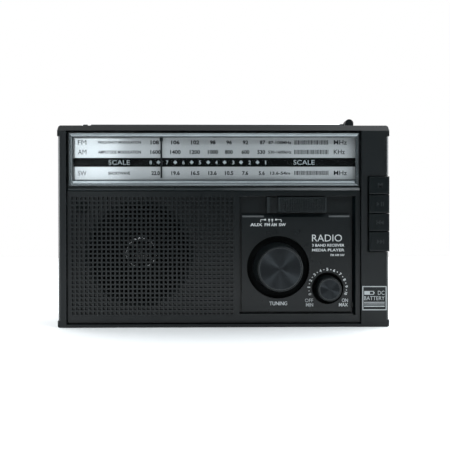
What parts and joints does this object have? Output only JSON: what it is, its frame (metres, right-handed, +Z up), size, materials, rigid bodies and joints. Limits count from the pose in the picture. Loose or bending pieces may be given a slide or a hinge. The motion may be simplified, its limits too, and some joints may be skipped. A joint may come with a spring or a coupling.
{
  "type": "shortwave receiver",
  "caption": "Portable three-band shortwave receiver with dial window, square-hole speaker grille, tuning and volume knobs, band slider, side keys and telescopic aerial.",
  "frame": {"origin": "centre of the bounding box at the bottom face", "axes": "+X right seen from the front, +Y to the rear, +Z up"},
  "size_m": [0.219, 0.0804, 0.1452],
  "materials": {
    "cabinet_plastic": "fine moulded grain",
    "fascia_plastic": "fine moulded grain",
    "key_plastic": "satin",
    "knob_plastic": "semi gloss",
    "knob_disc_metal": "dark anodised, spun",
    "lens_clear": "clear gloss acrylic",
    "dial_print": "printed satin plate",
    "badge_print": "printed label",
    "pointer_black": "gloss",
    "lamp_red": "tinted gloss",
    "inner_white": "moulded nylon",
    "cord_textile": "braided",
    "board_laminate": "phenolic laminate",
    "component_black": "moulded",
    "steel_parts": "zinc plated",
    "ferrite": "sintered",
    "copper_wire": "enamelled copper winding",
    "paper_cone": "pressed paper",
    "dust_cap_gloss": "gloss",
    "antenna_chrome": "polished",
    "antenna_base_black": "gloss"
  },
  "bodies": {
    "root": {"band_switch": "component_black", "battery_contacts": "steel_parts", "battery_springs": "steel_parts", "board_components": "component_black", "board_screws": "steel_parts", "card_socket": "component_black", "case_screws": "steel_parts", "chassis_screws": "steel_parts", "control_plate": "fascia_plastic", "dial_chassis": "inner_white", "dial_cord": "cord_textile", "dial_lens": "lens_clear", "dial_scale": "dial_print", "ferrite_coils": "copper_wire", "ferrite_holders": "component_black", "ferrite_rod": "ferrite", "front_cabinet": "cabinet_plastic", "front_fascia": "fascia_plastic", "headphone_jack": "component_black", "if_cans": "steel_parts", "indicator_led": "lamp_red", "key_switches": "component_black", "main_board": "board_laminate", "mains_inlet": "component_black", "mains_transformer": "steel_parts", "player_board": "board_laminate", "power_badge": "badge_print", "rear_cabinet": "cabinet_plastic", "speaker_basket": "steel_parts", "speaker_cone": "paper_cone", "speaker_dust_cap": "dust_cap_gloss", "speaker_grille": "fascia_plastic", "speaker_magnet": "ferrite", "tuning_capacitor": "steel_parts", "usb_socket": "steel_parts", "volume_pot": "steel_parts"},
    "tuning_control": {"tuning_knob": "knob_plastic", "tuning_knob_disc": "knob_disc_metal", "tuning_shaft": "steel_parts", "tuning_drum": "inner_white"},
    "volume_control": {"volume_knob": "knob_plastic", "volume_knob_disc": "knob_disc_metal", "volume_shaft": "steel_parts"},
    "band_selector": {"band_slider": "key_plastic"},
    "key_mode": {"mode_key": "key_plastic"},
    "key_play": {"play_key": "key_plastic"},
    "key_previous": {"previous_key": "key_plastic"},
    "key_next": {"next_key": "key_plastic"},
    "pointer_carriage": {"dial_pointer": "pointer_black"},
    "pulley_left": {"dial_pulley_left": "inner_white"},
    "pulley_right": {"dial_pulley_right": "inner_white"},
    "pulley_middle": {"dial_pulley_middle": "inner_white"},
    "battery_lid": {"battery_door": "cabinet_plastic"},
    "antenna_base": {"antenna_swivel": "antenna_base_black"},
    "antenna_arm": {"antenna_section_1": "antenna_chrome"},
    "antenna_tube_2": {"antenna_section_2": "antenna_chrome"},
    "antenna_tube_3": {"antenna_section_3": "antenna_chrome"},
    "antenna_tube_4": {"antenna_section_4": "antenna_chrome"},
    "antenna_tube_5": {"antenna_section_5": "antenna_chrome", "antenna_tip": "antenna_chrome"}
  },
  "joints": [
    {"name": "tuning_turn", "type": "hinge", "parent": "root", "child": "tuning_control", "pos_m": [0.0361, 0, 0.0396], "axis": [0, 1, 0], "range_deg": [-12, 168]},
    {"name": "pointer_slide", "type": "slide", "parent": "root", "child": "pointer_carriage", "axis": [1, 0, 0], "range_m": [-0.0048, 0.0667]},
    {"name": "pulley_left_turn", "type": "hinge", "parent": "root", "child": "pulley_left", "pos_m": [-0.094, 0, 0.118], "axis": [0, 1, 0], "range_deg": [-70, 955]},
    {"name": "pulley_right_turn", "type": "hinge", "parent": "root", "child": "pulley_right", "pos_m": [0.08, 0, 0.118], "axis": [0, 1, 0], "range_deg": [-70, 955]},
    {"name": "pulley_middle_turn", "type": "hinge", "parent": "root", "child": "pulley_middle", "pos_m": [-0.012, 0, 0.104], "axis": [0, 1, 0], "range_deg": [-955, 70]},
    {"name": "volume_turn", "type": "hinge", "parent": "root", "child": "volume_control", "pos_m": [0.0691, 0, 0.0256], "axis": [0, 1, 0], "range_deg": [0, 260]},
    {"name": "band_slide", "type": "slide", "parent": "root", "child": "band_selector", "axis": [1, 0, 0], "range_m": [-0.0023, 0.0046]},
    {"name": "mode_press", "type": "slide", "parent": "root", "child": "key_mode", "axis": [0, 1, 0], "range_m": [0, 0.0012], "stiffness_N_per_m": 400, "springref_m": -0.0008},
    {"name": "play_press", "type": "slide", "parent": "root", "child": "key_play", "axis": [0, 1, 0], "range_m": [0, 0.0012], "stiffness_N_per_m": 400, "springref_m": -0.0008},
    {"name": "previous_press", "type": "slide", "parent": "root", "child": "key_previous", "axis": [0, 1, 0], "range_m": [0, 0.0012], "stiffness_N_per_m": 400, "springref_m": -0.0008},
    {"name": "next_press", "type": "slide", "parent": "root", "child": "key_next", "axis": [0, 1, 0], "range_m": [0, 0.0012], "stiffness_N_per_m": 400, "springref_m": -0.0008},
    {"name": "battery_door_hinge", "type": "hinge", "parent": "root", "child": "battery_lid", "pos_m": [0, 0.03915, 0.0075], "axis": [-1, 0, 0], "range_deg": [0, 85]},
    {"name": "antenna_swivel_turn", "type": "hinge", "parent": "root", "child": "antenna_base", "pos_m": [0.0929, 0.02225, 0.134], "axis": [0, 0, 1], "continuous": true},
    {"name": "antenna_elbow", "type": "hinge", "parent": "antenna_base", "child": "antenna_arm", "pos_m": [0.0929, 0.02225, 0.1392], "axis": [0, 1, 0], "range_deg": [0, 90]},
    {"name": "antenna_slide_2", "type": "slide", "parent": "antenna_arm", "child": "antenna_tube_2", "axis": [-1, 0, 0], "range_m": [0, 0.145]},
    {"name": "antenna_slide_3", "type": "slide", "parent": "antenna_tube_2", "child": "antenna_tube_3", "axis": [-1, 0, 0], "range_m": [0, 0.145]},
    {"name": "antenna_slide_4", "type": "slide", "parent": "antenna_tube_3", "child": "antenna_tube_4", "axis": [-1, 0, 0], "range_m": [0, 0.145]},
    {"name": "antenna_slide_5", "type": "slide", "parent": "antenna_tube_4", "child": "antenna_tube_5", "axis": [-1, 0, 0], "range_m": [0, 0.145]}
  ],
  "couplings": [
    {"joint": "pointer_slide", "follows": "tuning_turn", "m_per_rad": 0.0227},
    {"joint": "pulley_left_turn", "follows": "tuning_turn", "ratio": 5.675},
    {"joint": "pulley_right_turn", "follows": "tuning_turn", "ratio": 5.675},
    {"joint": "pulley_middle_turn", "follows": "tuning_turn", "ratio": -5.675}
  ]
}
